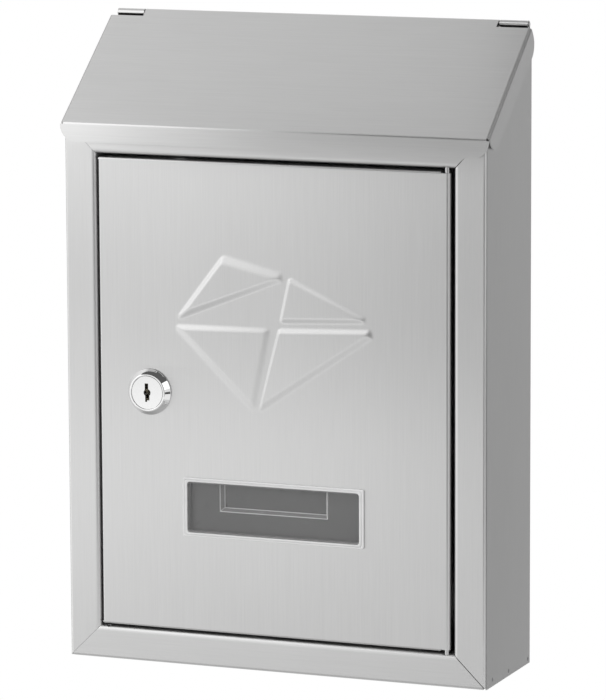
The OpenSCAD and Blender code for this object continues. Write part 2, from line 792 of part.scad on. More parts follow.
// Outline of the cam, hub at the origin and tip towards +Y
module cam_outline() {
    tip = cam_l - cam_w/2;
    circle(cam_hub_r);
    box2(-cam_w/2, 0, cam_w/2, tip);
    translate([0, tip]) circle(cam_w/2);
}

module lock_cam() {
    color(zinc) from_floor() at_lock() translate([0, 0, cam_d0]) linear_extrude(cam_t) difference() {
        cam_outline();
        square(tail_s + 2*tail_clear, center = true);
    }
}

module cam_washer() {
    color(zinc) from_floor() at_lock() translate([0, 0, cam_d1]) difference() {
        cylinder(r = cam_washer_r, h = cam_washer_t);
        translate([0, 0, -1]) cylinder(r = screw_r + tail_clear, h = cam_washer_t + 2);
    }
}

module cam_screw() {
    color(bright) from_floor() at_lock() difference() {
        union() {
            translate([0, 0, screw_head_d - screw_l]) cylinder(r = screw_r, h = screw_l);
            translate([0, 0, screw_head_d]) cylinder(r = screw_head_r, h = screw_head_h);
        }
        for (a = [0, 90]) rotate(a) translate([0, 0, screw_head_d + screw_head_h])
            cube([screw_drive_w, screw_slot_w, screw_head_h], center = true);
    }
}

body_shell();
floor_pan();
top_rail();
lid();
lid_hinge_wire();
door_panel();
door_hinge_rod();
name_window();
name_holder();
lock_housing();
lock_washer();
lock_nut();
lock_plug();
lock_wafers();
wafer_springs();
lock_cam();
cam_washer();
cam_screw();
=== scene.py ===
"""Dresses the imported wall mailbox: brushed steel, chrome lock, name window, studio and camera."""

import logging
import math
from dataclasses import dataclass
from enum import Enum
from functools import cached_property

import bmesh
import bpy
from mathutils import Matrix, Vector


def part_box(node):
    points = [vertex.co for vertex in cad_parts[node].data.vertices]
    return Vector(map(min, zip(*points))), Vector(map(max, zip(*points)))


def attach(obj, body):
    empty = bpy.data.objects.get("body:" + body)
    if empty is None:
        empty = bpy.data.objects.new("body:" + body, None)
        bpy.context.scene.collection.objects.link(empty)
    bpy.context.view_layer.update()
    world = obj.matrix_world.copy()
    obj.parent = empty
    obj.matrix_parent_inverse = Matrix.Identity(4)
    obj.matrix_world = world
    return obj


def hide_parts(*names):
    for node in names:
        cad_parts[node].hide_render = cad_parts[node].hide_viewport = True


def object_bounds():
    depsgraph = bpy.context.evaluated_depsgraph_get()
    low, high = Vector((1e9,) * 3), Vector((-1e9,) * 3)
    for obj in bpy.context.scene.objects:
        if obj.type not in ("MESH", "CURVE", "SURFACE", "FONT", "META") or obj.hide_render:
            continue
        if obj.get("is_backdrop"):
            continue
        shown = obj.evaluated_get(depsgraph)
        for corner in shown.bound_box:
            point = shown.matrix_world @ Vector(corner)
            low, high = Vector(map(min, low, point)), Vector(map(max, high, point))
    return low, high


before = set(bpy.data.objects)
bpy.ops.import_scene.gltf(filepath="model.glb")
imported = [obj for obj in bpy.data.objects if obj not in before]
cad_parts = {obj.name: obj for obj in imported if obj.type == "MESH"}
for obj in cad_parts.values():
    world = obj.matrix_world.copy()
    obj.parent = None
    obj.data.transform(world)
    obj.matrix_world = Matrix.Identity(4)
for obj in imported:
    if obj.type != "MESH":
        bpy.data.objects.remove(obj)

LOG = logging.getLogger("mailbox")
MM = 0.001
MERGE = 1e-6  # vertices closer than this are one, in metres
CUT = 1e-7  # how near to a cut a vertex counts as on it, in metres
ON_FACE = 2e-6  # how near to a flat face an edge counts as on it, in metres
CORNER_STEPS = 3
CARD_CELLS = 24
Pair = tuple[float, float]
Triple = tuple[float, float, float]
Station = tuple[float, float, float, float]


class Grain(Enum):
    """The way the brushing runs on a sheet."""

    UPRIGHT = "upright"
    ACROSS = "across"


# ---- mesh helpers ----


def merged_copy(node: str) -> bmesh.types.BMesh:
    """Gives a CAD node's mesh with its doubles merged.

    Args:
        node: The CAD node's name.

    Returns:
        The merged mesh, in metres.
    """
    bm = bmesh.new()
    bm.from_mesh(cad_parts[node].data)
    bmesh.ops.remove_doubles(bm, verts=bm.verts, dist=MERGE)
    return bm


def turned_profile(bm: bmesh.types.BMesh, outline: list[Pair], centre: Vector, steps: int) -> None:
    """Spins a closed outline once round an axis that runs along Y.

    Args:
        bm: The mesh that gets the ring.
        outline: Radius and Y of each corner, in millimetres, Y measured from the centre.
        centre: A point of the axis, in metres.
        steps: Steps of the full turn.
    """
    corners = [bm.verts.new(centre + Vector((r * MM, y * MM, 0.0))) for r, y in outline]
    edges = [bm.edges.new((a, b)) for a, b in zip(corners, corners[1:] + corners[:1])]
    bmesh.ops.spin(bm, geom=corners + edges, cent=centre, axis=(0, 1, 0), angle=math.tau,
                   steps=steps, use_merge=True, use_duplicate=False)


def rounded_loop(bm: bmesh.types.BMesh, centre: Vector, size: Pair, radius: float,
                 y: float) -> list[bmesh.types.BMEdge]:
    """Adds a rounded rectangle of edges in an upright plane.

    Args:
        bm: The mesh that gets it.
        centre: The rectangle's middle, in metres.
        size: Width and height in millimetres.
        radius: Corner radius in millimetres.
        y: How far in front of the centre the plane lies, in millimetres.

    Returns:
        The loop's edges.
    """
    before = set(bm.edges)
    made = bmesh.ops.create_grid(bm, x_segments=1, y_segments=1, size=0.5)["verts"]
    for vert in made:
        x, z = vert.co.x * size[0] * MM, vert.co.y * size[1] * MM
        vert.co = centre + Vector((x, -y * MM, z))
    if radius > 0:
        bmesh.ops.bevel(bm, geom=made, offset=radius * MM, segments=CORNER_STEPS, profile=0.5,
                        affect="VERTICES", material=-1, offset_type="OFFSET")
    edges = [e for e in bm.edges if e not in before]
    faces = {f for e in edges for f in e.link_faces}
    bmesh.ops.delete(bm, geom=list(faces), context="FACES_ONLY")
    return edges


def reshape_loop(verts: set[bmesh.types.BMVert], centre: Vector, old: Station, new: Station) -> None:
    """Moves the vertices of a rounded rectangle onto another one.

    Args:
        verts: The loop's vertices.
        centre: The middle of both, in metres.
        old: Width, height, corner radius and place in front of the centre, in millimetres.
        new: The same for the rectangle that they move to.
    """
    for vert in verts:
        local = (vert.co - centre) / MM
        x = (abs(local.x) - old[0] / 2 + old[2]) / old[2] * new[2] + new[0] / 2 - new[2]
        z = (abs(local.z) - old[1] / 2 + old[2]) / old[2] * new[2] + new[1] / 2 - new[2]
        vert.co = centre + Vector((math.copysign(x, local.x), -new[3], math.copysign(z, local.z))) * MM


def new_piece(bm: bmesh.types.BMesh, name: str, body: str, nodes: tuple[str, ...],
              materials: list[bpy.types.Material], sharp: float | None) -> bpy.types.Object:
    """Makes a finished piece of a mesh, with its body and the nodes that it stands for.

    Args:
        bm: The mesh, which is freed.
        name: The piece's name.
        body: The CAD body that it moves with.
        nodes: CAD nodes that it stands for.
        materials: Its materials, in the order of the mesh's indices.
        sharp: Angle in degrees past which an edge is sharp, or None for a piece that stays flat.

    Returns:
        The piece.
    """
    mesh = bpy.data.meshes.new(name)
    bm.to_mesh(mesh)
    bm.free()
    for material in materials:
        mesh.materials.append(material)
    piece = bpy.data.objects.new(name, mesh)
    bpy.context.scene.collection.objects.link(piece)
    if sharp is not None:
        mesh.shade_smooth()
        mesh.set_sharp_from_angle(angle=math.radians(sharp))
        weighted = piece.modifiers.new("weighted", "WEIGHTED_NORMAL")
        weighted.keep_sharp = True
        weighted.weight = 100
    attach(piece, body)
    if nodes:
        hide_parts(*nodes)
    LOG.info("%s: %d faces on %s", name, len(mesh.polygons), body)
    return piece


# ---- finishes ----


class NodeGraph:
    """A small helper that adds and links shader nodes in one material or world."""

    def __init__(self, owner: bpy.types.Material | bpy.types.World) -> None:
        """Clears the owner's nodes.

        Args:
            owner: The material or world whose nodes are written.
        """
        owner.use_nodes = True
        self.tree = owner.node_tree
        self.tree.nodes.clear()

    def add(self, kind: str, links: dict | None = None, **values) -> bpy.types.Node:
        """Adds a node, sets its properties and fills its sockets.

        Args:
            kind: The node's type without the leading "ShaderNode".
            links: Input name or index to a socket that feeds it or a constant for it.
            **values: Properties of the node itself.

        Returns:
            The new node.
        """
        node = self.tree.nodes.new("ShaderNode" + kind)
        for name, value in values.items():
            setattr(node, name, value)
        for key, value in (links or {}).items():
            if isinstance(value, bpy.types.NodeSocket):
                self.tree.links.new(value, node.inputs[key])
            else:
                node.inputs[key].default_value = value
        return node

    def ramp(self, fac: bpy.types.NodeSocket, low: float, high: float) -> bpy.types.NodeSocket:
        """Maps a value from 0..1 to low..high.

        Args:
            fac: The value to map.
            low: What 0 becomes.
            high: What 1 becomes.

        Returns:
            The mapped value's socket.
        """
        links = {"Value": fac, "To Min": low, "To Max": high}
        return self.add("MapRange", links).outputs["Result"]

    def noise(self, coords: bpy.types.NodeSocket, scale: Triple, detail: float) -> bpy.types.NodeSocket:
        """Adds noise that is stretched along some axes.

        Args:
            coords: Where the noise is read.
            scale: Cells for each metre along X, Y and Z.
            detail: Octaves.

        Returns:
            The noise's socket.
        """
        moved = self.add("Mapping", {"Vector": coords, "Scale": scale})
        links = {"Vector": moved.outputs[0], "Scale": 1.0, "Detail": detail, "Roughness": 0.6}
        return self.add("TexNoise", links).outputs["Fac"]

    def multiply(self, first: bpy.types.NodeSocket, second: bpy.types.NodeSocket) -> bpy.types.NodeSocket:
        """Gives the product of two sockets."""
        return self.add("Math", {0: first, 1: second}, operation="MULTIPLY").outputs[0]


@dataclass(frozen=True)
class BrushedSteel:
    """Stainless sheet with fine parallel brushing, faint clouds and a few handling marks.

    Args:
        name: The material's name.
        colour: Linear colour of the metal.
        grain: The way the brushing runs.
        roughness: Middle roughness.
        depth: Height of the brushing in metres.
        hair: Brush lines for each metre.
        hair_run: How many times longer than wide a brush line is.
        streak: Broad streaks for each metre.
        streak_run: How many times longer than wide a streak is.
        cloud: Faint clouds for each metre, across and along the grain.
        one_way: How much more the brushing blurs across the grain than along it.
    """

    name: str
    colour: Triple = (0.62, 0.62, 0.618)
    grain: Grain = Grain.UPRIGHT
    roughness: float = 0.32
    depth: float = 0.000010
    hair: float = 5200.0
    hair_run: float = 120.0
    streak: float = 1100.0
    streak_run: float = 90.0
    cloud: Pair = (26.0, 13.0)
    one_way: float = 0.75

    def _stretch(self, across: float, along: float) -> Triple:
        """Gives values along X, Y and Z from those across and along the grain."""
        return (across, across, along) if self.grain is Grain.UPRIGHT else (along, across, across)

    @cached_property
    def material(self) -> bpy.types.Material:
        """The node material.

        Returns:
            The material, which is made once.
        """
        material = bpy.data.materials.new(self.name)
        graph = NodeGraph(material)
        coords = graph.add("TexCoord").outputs["Object"]
        hair = graph.noise(coords, self._stretch(self.hair, self.hair / self.hair_run), 2.0)
        streak = graph.noise(coords, self._stretch(self.streak, self.streak / self.streak_run), 2.0)
        cloud = graph.noise(coords, self._stretch(*self.cloud), 2.0)
        both = graph.add("Math", {0: hair, 1: streak}, operation="ADD").outputs[0]
        both = graph.add("Math", {0: both, 1: 0.5}, operation="MULTIPLY").outputs[0]
        shade = graph.multiply(graph.ramp(hair, 0.93, 1.07), graph.ramp(streak, 0.965, 1.035))
        shade = graph.multiply(shade, graph.ramp(cloud, 0.965, 1.035))
        colour = graph.add("VectorMath", {0: self.colour, "Scale": shade}, operation="SCALE").outputs[0]
        rough = graph.add("Math", {0: graph.ramp(streak, -0.05, 0.05),
                                   1: graph.ramp(cloud, self.roughness - 0.03, self.roughness + 0.03)},
                          operation="ADD").outputs[0]
        bump = graph.add("Bump", {"Height": both, "Strength": 1.0, "Distance": self.depth})
        along = graph.add("CombineXYZ", dict(enumerate(self._stretch(0.02, 1.0)))).outputs[0]
        links = {"Base Color": colour, "Metallic": 1.0, "Roughness": rough, "Normal": bump.outputs[0],
                 "Tangent": along, "Anisotropic": self.one_way, "Anisotropic Rotation": 0.25}
        surface = graph.add("BsdfPrincipled", links)
        graph.add("OutputMaterial", {"Surface": surface.outputs[0]})
        return material


@dataclass(frozen=True)
class PlatedMetal:
    """Smooth plated or drawn metal, with faint wear and dirt in its gloss.

    Args:
        name: The material's name.
        colour: Linear colour of the plating.
        roughness: Middle roughness.
        waviness: Height of the plating's slow waves in metres.
    """

    name: str
    colour: Triple
    roughness: float
    waviness: float = 0.000002

    @cached_property
    def material(self) -> bpy.types.Material:
        """The node material.

        Returns:
            The material, which is made once.
        """
        material = bpy.data.materials.new(self.name)
        graph = NodeGraph(material)
        coords = graph.add("TexCoord").outputs["Object"]
        grit = graph.noise(coords, (1400.0, 1400.0, 1400.0), 3.0)
        broad = graph.noise(coords, (220.0, 220.0, 220.0), 2.0)
        rough = graph.ramp(broad, self.roughness * 0.6, self.roughness * 1.5)
        shade = graph.ramp(grit, 0.95, 1.04)
        colour = graph.add("VectorMath", {0: self.colour, "Scale": shade}, operation="SCALE").outputs[0]
        height = graph.add("Math", {0: grit, 1: broad}, operation="ADD").outputs[0]
        bump = graph.add("Bump", {"Height": height, "Strength": 1.0, "Distance": self.waviness})
        links = {"Base Color": colour, "Metallic": 1.0, "Roughness": rough, "Normal": bump.outputs[0]}
        surface = graph.add("BsdfPrincipled", links)
        graph.add("OutputMaterial", {"Surface": surface.outputs[0]})
        return material


@dataclass(frozen=True)
class MouldedPlastic:
    """Moulded plastic, opaque or thin enough to see through.

    Args:
        name: The material's name.
        colour: Linear colour of the plastic.
        roughness: Middle roughness.
        index: Index of refraction.
        alpha: How much of the surface covers what is behind it.
        grain: Depth of the surface's fine grain, in hundredths of a millimetre.
    """

    name: str
    colour: Triple
    roughness: float
    index: float = 1.49
    alpha: float = 1.0
    grain: float = 1.0

    @cached_property
    def material(self) -> bpy.types.Material:
        """The node material.

        Returns:
            The material, which is made once.
        """
        material = bpy.data.materials.new(self.name)
        graph = NodeGraph(material)
        coords = graph.add("TexCoord").outputs["Object"]
        mist = graph.noise(coords, (240.0, 240.0, 240.0), 3.0)
        flow = graph.noise(coords, (18.0, 18.0, 60.0), 2.0)
        rough = graph.ramp(mist, self.roughness * 0.7, self.roughness * 1.3)
        shade = graph.multiply(graph.ramp(mist, 0.96, 1.03), graph.ramp(flow, 0.93, 1.07))
        colour = graph.add("VectorMath", {0: self.colour, "Scale": shade}, operation="SCALE").outputs[0]
        height = graph.add("Math", {0: mist, 1: flow}, operation="ADD").outputs[0]
        bump = graph.add("Bump", {"Height": height, "Strength": 1.0, "Distance": 0.00001 * self.grain})
        links = {"Base Color": colour, "Roughness": rough, "Normal": bump.outputs[0],
                 "IOR": self.index, "Alpha": self.alpha}
        surface = graph.add("BsdfPrincipled", links)
        graph.add("OutputMaterial", {"Surface": surface.outputs[0]})
        return material


Finish = BrushedSteel | PlatedMetal | MouldedPlastic


@dataclass(frozen=True)
class Finishes:
    """All the finishes of the mailbox."""

    shell: Finish = BrushedSteel("brushed_shell")
    rail: Finish = BrushedSteel("brushed_rail", grain=Grain.ACROSS)
    lid: Finish = BrushedSteel("brushed_lid", grain=Grain.ACROSS)
    door: Finish = BrushedSteel("brushed_door")
    weld: Finish = BrushedSteel("weld_mark", colour=(0.36, 0.36, 0.37), roughness=0.42)
    wire: Finish = PlatedMetal("drawn_wire", (0.55, 0.55, 0.55), 0.25)
    chrome: Finish = PlatedMetal("chrome_plate", (0.80, 0.80, 0.80), 0.05)
    zinc: Finish = PlatedMetal("zinc_plate", (0.58, 0.58, 0.55), 0.38)
    brass: Finish = PlatedMetal("stamped_brass", (0.30, 0.27, 0.20), 0.45)
    pane: Finish = MouldedPlastic("clear_pane", (0.30, 0.30, 0.30), 0.05, alpha=0.12)
    ring: Finish = MouldedPlastic("misty_ring", (0.58, 0.58, 0.58), 0.15)
    # sleeve: the ring's own plastic coloured darker where it runs behind the door, a painted shade
    sleeve: Finish = MouldedPlastic("shaded_sleeve", (0.20, 0.20, 0.20), 0.2)
    holder: Finish = MouldedPlastic("grey_moulding", (0.082, 0.082, 0.082), 0.30, grain=0.15)
    # collar: the tray's own dark plastic coloured lighter, a painted sheen for its slanted faces
    collar: Finish = MouldedPlastic("collar_painted_sheen", (0.26, 0.26, 0.26), 0.25)
    # pale strips along the collar's folds: a painted highlight
    collar_painted_highlight: Finish = MouldedPlastic("collar_painted_highlight", (0.62, 0.62, 0.62), 0.2)

    def dress(self, finish: Finish, *nodes: str) -> None:
        """Gives CAD nodes their finish.

        Args:
            finish: The finish that they get.
            *nodes: The CAD nodes' names.
        """
        for node in nodes:
            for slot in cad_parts[node].material_slots:
                slot.material = finish.material
            LOG.info("%s: %s", node, finish.name)


# ---- shell and lid ----


@dataclass
class Shell:
    """The welded shell with its floor pan, its top rail and the marks of its spot welds.

    Args:
        finishes: The mailbox's finishes.
        spots: Y and height above the bottom of each weld mark, in millimetres.
        spot_radius: Radius of a weld mark in millimetres.
        spot_rise: How far a weld mark stands out of the wall, in millimetres.
    """

    finishes: Finishes
    spots: tuple[Pair, ...] = ((-55.2, 3.3), (-32.1, 2.5), (-4.0, 2.3))
    spot_radius: float = 1.0
    spot_rise: float = 0.06

    def _weld_marks(self) -> None:
        """Adds the shallow round marks that the spot welds leave along the foot of both side walls."""
        low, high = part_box("body_shell")
        bm = bmesh.new()
        for side in (low.x, high.x):
            for y, up in self.spots:
                made = bmesh.ops.create_icosphere(bm, subdivisions=3, radius=self.spot_radius * MM)["verts"]
                bmesh.ops.scale(bm, vec=(self.spot_rise / self.spot_radius, 1.0, 1.0), verts=made)
                bmesh.ops.translate(bm, vec=(side, y * MM, low.z + up * MM), verts=made)
        new_piece(bm, "weld_marks", "box", (), [self.finishes.weld.material], 80.0)

    def build(self) -> None:
        """Builds the weld marks and dresses the shell."""
        self.finishes.dress(self.finishes.shell, "body_shell")
        self.finishes.dress(self.finishes.rail, "floor_pan", "top_rail")
        self._weld_marks()


@dataclass
class Lid:
    """The sloping lid and its hinge wire.

    Args:
        finishes: The mailbox's finishes.
    """

    finishes: Finishes

    def build(self) -> None:
        """Dresses the lid."""
        self.finishes.dress(self.finishes.lid, "lid")
        self.finishes.dress(self.finishes.wire, "lid_hinge_wire")


# ---- door ----


@dataclass(frozen=True)
class RaisedPanel:
    """One three-cornered panel of the pressed envelope, a little tilted, with soft slopes round it.

    Args:
        corners: X and Z of its corners from the envelope's middle, in millimetres.
        cuts: How far each corner is cut back, in millimetres.
        slopes: Width of the slope along the side from each corner to the next, in millimetres.
        levels: Height of the panel at each corner, as a share of the full height.
    """

    corners: tuple[Pair, Pair, Pair]
    cuts: Triple
    slopes: Triple
    levels: Triple

    @cached_property
    def sides(self) -> list[tuple[Vector, Vector, float]]:
        """The sides of the panel, cut corners among them.

        Returns:
            A point, the inward direction and the slope's width of each side.
        """
        corners = [Vector(c) for c in self.corners]
        middle = sum(corners, Vector((0.0, 0.0))) / 3
        outline, widths = [], []
        for i in range(3):
            for k in (2, 1):
                outline.append(corners[i] + self.cuts[i] * (corners[(i + k) % 3] - corners[i]).normalized())
            widths += [min(self.slopes[i], self.slopes[i - 1]), self.slopes[i]]
        sides = []
        for a, b, width in zip(outline, outline[1:] + outline[:1], widths):
            inward = Vector((a.y - b.y, b.x - a.x)).normalized()
            sides.append((a, inward if (middle - a).dot(inward) > 0 else -inward, width))
        return sides

    def level(self, here: Vector) -> float:
        """Gives the height of the tilted panel at a point.

        Args:
            here: X and Z of the point from the envelope's middle, in millimetres.

        Returns:
            The height there as a share of the full height.
        """
        a, b, c = (Vector(corner) for corner in self.corners)
        whole = (b - a).cross(c - a)
        shares = ((b - here).cross(c - here) / whole, (c - here).cross(a - here) / whole,
                  (a - here).cross(b - here) / whole)
        return sum(share * level for share, level in zip(shares, self.levels))

    def rise(self, x: float, z: float, blend: float, easing: float) -> float:
        """Gives the height of the pressing at a point, as a share of the full height.

        Args:
            x: The point's X from the envelope's middle, in millimetres.
            z: Its Z.
            blend: How softly the slopes meet at corners, as a share of their width.
            easing: Share of a slope's width over which its foot and its crest are rounded.

        Returns:
            0 outside the panel to about 1 on its top.
        """
        here = Vector((x, z))
        shares = [(here - point).dot(inward) / width for point, inward, width in self.sides]
        nearest = min(shares)
        if nearest <= -blend:
            return 0.0
        t = nearest - blend * math.log(sum(math.exp((nearest - d) / blend) for d in shares))
        t = min(max(t, 0.0), 1.0)
        curve = 2 * easing * (1 - easing)
        if t < easing:
            t = t * t / curve
        elif t < 1 - easing:
            t = (t - easing / 2) / (1 - easing)
        else:
            t = 1 - (1 - t) ** 2 / curve
        return t * self.level(here)


@dataclass
class Door:
    """The door with its softly pressed envelope.

    Args:
        finishes: The mailbox's finishes.
        middle: X and Z of the envelope's middle, in millimetres.
        raise_mm: How far the panels stand out.
        blend: Rounding of their corners, as a share of the slope's width.
        easing: Rounding of the slopes, as a share of their width.
        zone: X and Z limits of the pressed part, in millimetres.
        ring: Width of the flat strip between the zone's edge and the pressing's grid.
        face: Y of the door's flat face, in millimetres.
        sheet: Thickness of the sheet.
        cells: Size of a cell of the grid on the face and of the one on the back, in millimetres.
        panels: The four panels.
    """

    finishes: Finishes
    middle: Pair = (-0.35, 13.0)
    raise_mm: float = 1.1
    blend: float = 0.12
    easing: float = 0.3
    zone: tuple[Pair, Pair] = ((-52.4, 60.0), (-34.0, 50.0))
    ring: float = 1.0
    face: float = -64.8
    sheet: float = 0.6
    cells: Pair = (0.6, 1.2)
    panels: tuple[RaisedPanel, ...] = (
        RaisedPanel(((-25.0, 34.1), (-52.4, -1.3), (15.1, 24.7)), (1.0, 5.0, 9.5), (2.7, 4.2, 5.5),
                    (1.0, 0.95, 0.55)),
        RaisedPanel(((8.8, 25.2), (3.5, 1.4), (56.0, 3.8)), (2.0, 2.0, 8.5), (1.1, 3.2, 3.6),
                    (0.75, 0.65, 0.5)),
        RaisedPanel(((-53.6, -0.9), (-8.8, -44.0), (0.1, -0.1)), (4.0, 3.0, 2.0), (3.8, 4.0, 3.4),
                    (1.0, 0.3, 0.45)),
        RaisedPanel(((3.4, 0.0), (-8.0, -43.5), (60.3, 2.3)), (1.5, 3.5, 10.0), (1.1, 4.2, 3.4),
                    (0.85, 0.4, 0.7)),
    )

    def _height(self, x: float, z: float) -> float:
        """Gives the height of the pressing in millimetres at a point in millimetres."""
        x, z = x - self.middle[0], z - self.middle[1]
        return self.raise_mm * max(p.rise(x, z, self.blend, self.easing) for p in self.panels)

    def _cut_zone(self, bm: bmesh.types.BMesh) -> None:
        """Cuts the pressed part out of the merged door and drops its faces.

        Args:
            bm: The door.
        """
        (x0, x1), (z0, z1) = self.zone
        for point, normal in (((x0, 0, 0), (1, 0, 0)), ((x1, 0, 0), (1, 0, 0)),
                              ((0, 0, z0), (0, 0, 1)), ((0, 0, z1), (0, 0, 1))):
            bmesh.ops.bisect_plane(bm, geom=bm.verts[:] + bm.edges[:] + bm.faces[:], dist=CUT,
                                   plane_co=Vector(point) * MM, plane_no=normal)
        inside = []
        for face in bm.faces:
            c = face.calc_center_median() / MM
            if x0 < c.x < x1 and z0 < c.z < z1:
                inside.append(face)
        bmesh.ops.delete(bm, geom=inside, context="FACES")

    def _fill_zone(self, bm: bmesh.types.BMesh, plane: float, cell: float) -> None:
        """Fills one face of the sheet with a fine grid that carries the pressing.

        Args:
            bm: The door.
            plane: Y of the flat face in metres.
            cell: Size of a cell in millimetres.
        """
        (x0, x1), (z0, z1) = self.zone
        rim = [e for e in bm.edges
               if e.is_boundary and all(abs(v.co.y - plane) < ON_FACE for v in e.verts)]
        wide, high = x1 - x0 - 2 * self.ring, z1 - z0 - 2 * self.ring
        before = set(bm.edges)
        grid = bmesh.ops.create_grid(bm, x_segments=round(wide / cell), y_segments=round(high / cell),
                                     size=0.5)["verts"]
        for vert in grid:
            x, z = (x0 + x1) / 2 + vert.co.x * wide, (z0 + z1) / 2 + vert.co.y * high
            vert.co = Vector((x * MM, plane - self._height(x, z) * MM, z * MM))
        rim += [e for e in bm.edges if e not in before and e.is_boundary]
        bmesh.ops.triangle_fill(bm, use_beauty=True, use_dissolve=False, edges=rim, normal=(0, -1, 0))

    def _panel(self) -> None:
        """Builds the door's sheet with the pressing."""
        bm = merged_copy("door_panel")
        front = self.face * MM
        back = front + self.sheet * MM
        self._cut_zone(bm)
        self._fill_zone(bm, front, self.cells[0])
        self._fill_zone(bm, back, self.cells[1])
        bmesh.ops.remove_doubles(bm, verts=bm.verts, dist=MERGE)
        bmesh.ops.recalc_face_normals(bm, faces=bm.faces)
        LOG.info("door: %d open edges", sum(e.is_boundary for e in bm.edges))
        new_piece(bm, "door_sheet", "door", ("door_panel",),
                  [self.finishes.door.material], 30.0)

    def build(self) -> None:
        """Builds the door's sheet and dresses its rod."""
        self._panel()
        self.finishes.dress(self.finishes.wire, "door_hinge_rod")


# ---- name window ----


